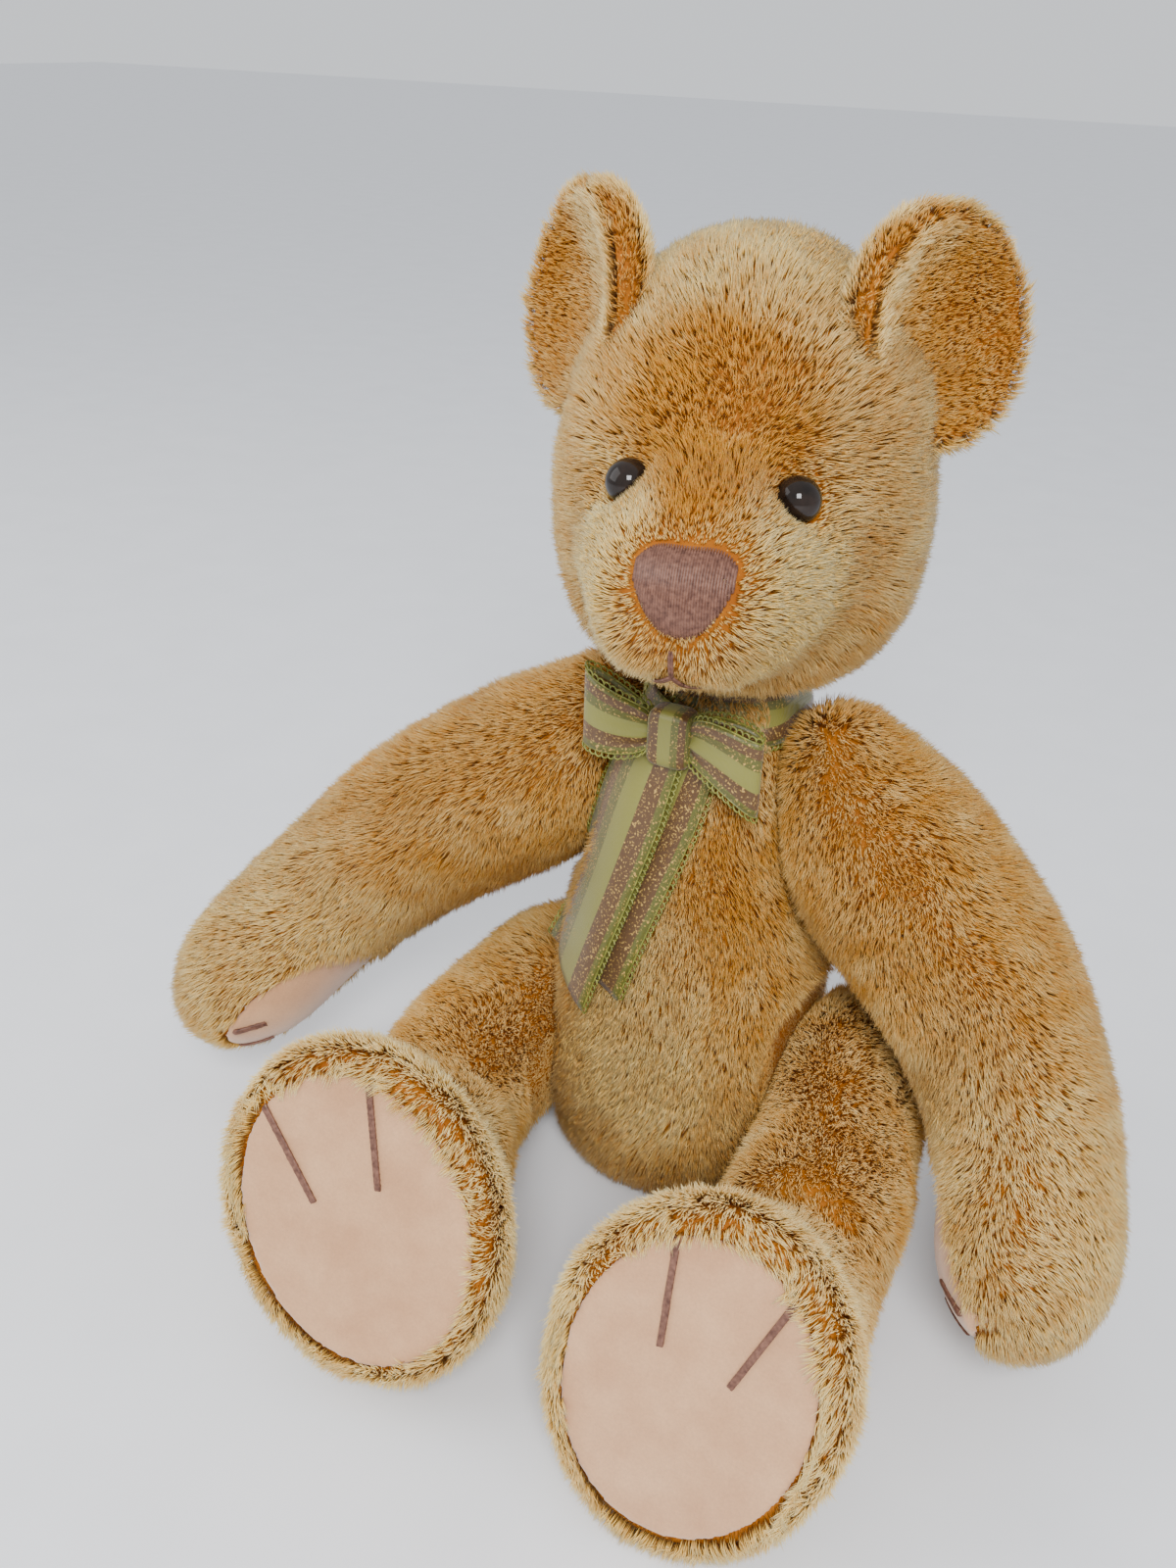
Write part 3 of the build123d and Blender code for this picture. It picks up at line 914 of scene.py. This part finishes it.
def grow_pile(skin_name, body, comb, tone_and_sheen_at, length_at, seed):
    """Cover a skin with combed fibres, split into pieces of a size the model can hold."""
    skin = skins[skin_name]
    thin = 1
    total = int(area_of(skin.data) * STRANDS_PER_M2 / thin)
    rng = np.random.default_rng(seed)
    root, normal = scatter(skin.data, total, seed + 1)
    length = PILE * length_at(root, normal)
    near_joint = face_distance(root, body)
    length *= 0.55 + 0.45 * ramp(near_joint, 1.5 * MM, 6 * MM)
    near_trim = distance_to(eye_tree, root, 12 * MM) if body == "head" else np.full(total, 1.0)
    length *= 0.45 + 0.55 * ramp(near_trim, 1.5 * MM, 8 * MM)
    near_bare = distance_to(bare_tree, root, 3 * MM)
    keep = (near_joint > 1.2 * MM) | (face_reach(root, body) > OPEN_FACE)
    keep &= near_bare > 0.8 * MM
    keep &= ~((root[:, 2] < 0.6 * MM) & (normal[:, 2] < -0.7))
    root, normal, length = root[keep], normal[keep], length[keep]
    length = length * rng.uniform(0.75, 1.12, len(root))
    swirl = np.stack([ripple(root, 0.03, seed + k) for k in (10, 11, 12)], 1)
    flow = comb(root, normal) + swirl * 0.28
    along = unit(flow - (flow * normal).sum(1, keepdims=True) * normal)
    # The tone maps carry painted sheen and shade of the pile as well as its own tone.
    pile_tone_and_sheen = tone_and_sheen_at(root, normal)
    angle = (0.42 + 0.62 * np.clip(pile_tone_and_sheen, 0, 1) + 0.14 * ripple(root, 0.022, seed + 20))[:, None]
    jitter = rng.normal(size=root.shape) * 0.13
    first = unit(normal * np.cos(angle * 0.7) + along * np.sin(angle * 0.7) + jitter)
    second = unit(normal * np.cos(angle * 1.25) + along * np.sin(angle * 1.25) + jitter * 1.6)
    middle = root + first * length[:, None] * 0.5
    tip = middle + second * length[:, None] * 0.5
    straight_tip = tip
    tip = clump_towards(root, tip, 0.38)
    middle = middle + (tip - straight_tip) * 0.3
    for points in (middle, tip):
        points[:] = clear_of_faces(points, body, 0.35 * MM)
        points[:, 2] = np.maximum(points[:, 2], 0.45 * MM)
    tone = pile_tone_and_sheen + 0.10 * ripple(root, 0.012, seed + 30) + rng.normal(size=len(root)) * 0.13
    tone = np.clip(tone, 0.02, 0.98)
    half = STRAND_HALF * rng.uniform(0.7, 1.25, len(root)) * (1.9 if thin > 1 else 1)
    parts = max(1, math.ceil(len(root) / STRANDS_PER_PIECE))
    for k in range(parts):
        pick = slice(k, None, parts)
        name = f"{skin_name}_pile_{k + 1}"
        mesh = fibre_mesh(name, *(part[pick] for part in (root, middle, tip, normal, half, tone)))
        obj = new_object(name, mesh, fur_look, body, smooth=False)


def blob(p, centre, radius):
    """1 at a centre given in millimetres, falling to 0 at the radius."""
    return 1 - ramp(np.linalg.norm(p - np.array(centre) * MM, axis=1), 0.35 * radius * MM, radius * MM)


def straight_head(p):
    """Head points with the head's turn taken out."""
    c, s = math.cos(-HEAD_YAW), math.sin(-HEAD_YAW)
    off = p - np.array(NECK)
    turned = np.stack([off[:, 0] * c - off[:, 1] * s, off[:, 0] * s + off[:, 1] * c, off[:, 2]], 1)
    return turned + np.array(NECK)


def head_comb(p, n):
    return unit(p - np.array(NOSE_TIP)) + np.array([0, 0.2, 0])


def head_tone_and_sheen(p, n):
    # Paler on the crown and the sides of the head, darker on the forehead and above the nose: painted
    # sheen and shade of pile seen side-on at the outline or end-on. The muzzle, cheeks and chin are
    # paler too.
    q = straight_head(p)
    tone = np.full(len(p), 0.36)
    tone += 0.35 * ramp(q[:, 2], 248 * MM, 268 * MM)
    tone += 0.20 * ramp(np.abs(q[:, 0]), 36 * MM, 50 * MM)
    for side in (-1, 1):
        tone += 0.60 * blob(q, (side * 20, -50, 203), 30)
        tone += 0.15 * blob(q, (side * 34, -36, 226), 18)
    tone += 0.45 * blob(q, (0, -50, 187), 24)
    tone -= 0.45 * blob(q, (0, -36, 244), 32)
    tone -= 0.40 * blob(q, (0, -50, 222), 17)
    return tone


def head_length(p, n):
    q = straight_head(p)
    return 1 - 0.4 * blob(q, (0, -55, 214), 26)


def torso_comb(p, n):
    return np.array([0, -0.1, -1.0]) + (p * [1, 1, 0]) * 6


def torso_painted_sheen(p, n):
    # Painted shade and sheen: darker on one side of the chest, paler on the lower chest and belly, as
    # pile seen end-on or side-on looks.
    tone = np.full(len(p), 0.30)
    tone -= 0.30 * blob(p, (20, -38, 112), 34)
    tone += 0.45 * blob(p, (-6, -45, 98), 30)
    tone += 0.45 * blob(p, (-4, -45, 55), 40)
    return tone


def limb_comb(joint_name, back):
    """Fur lies away from the joint, along the limb."""
    joint = next(j for j in frame["joints"] if j["name"] == joint_name)
    source = np.array(joint["pos_m"]) + np.array(back) * MM
    return lambda p, n: unit(p - source)


def limb_tone(pad_name, low, high):
    """Paler towards the paw or foot."""
    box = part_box(pad_name)
    middle = np.array((box[0] + box[1]) / 2)

    def tone(p, n):
        away = np.linalg.norm(p - middle, axis=1)
        return low + (high - low) * (1 - ramp(away, 30 * MM, 75 * MM))

    return tone


def even_length(p, n):
    return np.ones(len(p))


def ear_comb(p, n):
    return unit(p - np.array(HEAD_MIDDLE))


def ear_painted_sheen(p, n):
    """Painted sheen and shade: deep gold where the skin faces the camera, as inside the cup, paler
    where it turns away, on the rim and the back.
    """
    facing = n @ np.array([0.35, -0.85, 0.3])
    return 0.62 - 0.55 * ramp(facing, 0.2, 0.75)


def ear_length(p, n):
    facing = n @ np.array([0.35, -0.85, 0.3])
    return 0.95 - 0.4 * ramp(facing, 0.2, 0.75)


grow_pile("head", "head", head_comb, head_tone_and_sheen, head_length, 100)
grow_pile("torso", "torso", torso_comb, torso_painted_sheen, even_length, 200)
for offset, side in enumerate(("left", "right")):
    grow_pile(
        f"arm_{side}", f"arm_{side}", limb_comb(f"shoulder_{side}", (0, 0, 30)),
        limb_tone(f"arm_{side}_paw_pad", 0.22, 0.62), even_length, 300 + 50 * offset,
    )
    grow_pile(
        f"leg_{side}", f"leg_{side}", limb_comb(f"hip_{side}", (0, 10, 0)),
        limb_tone(f"leg_{side}_foot_pad", 0.30, 0.78), even_length, 400 + 50 * offset,
    )
    grow_pile(f"ear_{side}", "head", ear_comb, ear_painted_sheen, ear_length, 500 + 50 * offset)


# ---------------------------------------------------------------- room, light, camera
def room_material():
    made, tree, shader = material("pale_board")
    at = object_coords(tree)
    grain = noise(tree, at, 30.0, Detail=4.0)
    base = colour_ramp(tree, grain, [(0.3, (0.80, 0.81, 0.84)), (0.7, (0.83, 0.84, 0.87))])
    tree.links.new(base, shader.inputs["Base Color"])
    shader.inputs["Roughness"].default_value = 0.7
    return made


def floor():
    """A wide pale floor."""
    verts = np.array([(-6, -6, 0), (6, -6, 0), (6, 6, 0), (-6, 6, 0)], float)
    return new_object("floor", mesh_from("floor", verts, [(0, 1, 2, 3)]), room_material())


def area_light(name, place, target, size, power, colour=(1, 1, 1)):
    data = bpy.data.lights.new(name, "AREA")
    data.size, data.energy, data.color = size, power, colour
    obj = bpy.data.objects.new(name, data)
    obj.location = place
    obj.rotation_euler = (Vector(target) - Vector(place)).to_track_quat("-Z", "Y").to_euler()
    bpy.context.scene.collection.objects.link(obj)
    return obj


room = floor()
key = area_light("key_light", (0.45, -0.95, 0.95), (0, -0.03, 0.12), 0.45, 21)
fill = area_light("fill_light", (-0.9, -0.5, 0.7), (0, 0, 0.12), 0.9, 6)

world = bpy.data.worlds.new("room_light")
world.use_nodes = True
world.node_tree.nodes["Background"].inputs["Color"].default_value = (0.93, 0.96, 1.0, 1)
world.node_tree.nodes["Background"].inputs["Strength"].default_value = 0.95
bpy.context.scene.world = world

camera_data = bpy.data.cameras.new("camera")
camera_data.lens = 35
camera_data.sensor_width = 36
camera = bpy.data.objects.new("camera", camera_data)
bpy.context.scene.collection.objects.link(camera)
forward, up = Vector((-0.4045, 0.7939, -0.4540)), Vector((-0.2371, 0.3884, 0.8905))
right = forward.cross(up).normalized()
up = right.cross(forward).normalized()
camera.matrix_world = Matrix((
    (right.x, up.x, -forward.x, 0.1465),
    (right.y, up.y, -forward.y, -0.3649),
    (right.z, up.z, -forward.z, 0.3246),
    (0, 0, 0, 1),
))
bpy.context.scene.camera = camera
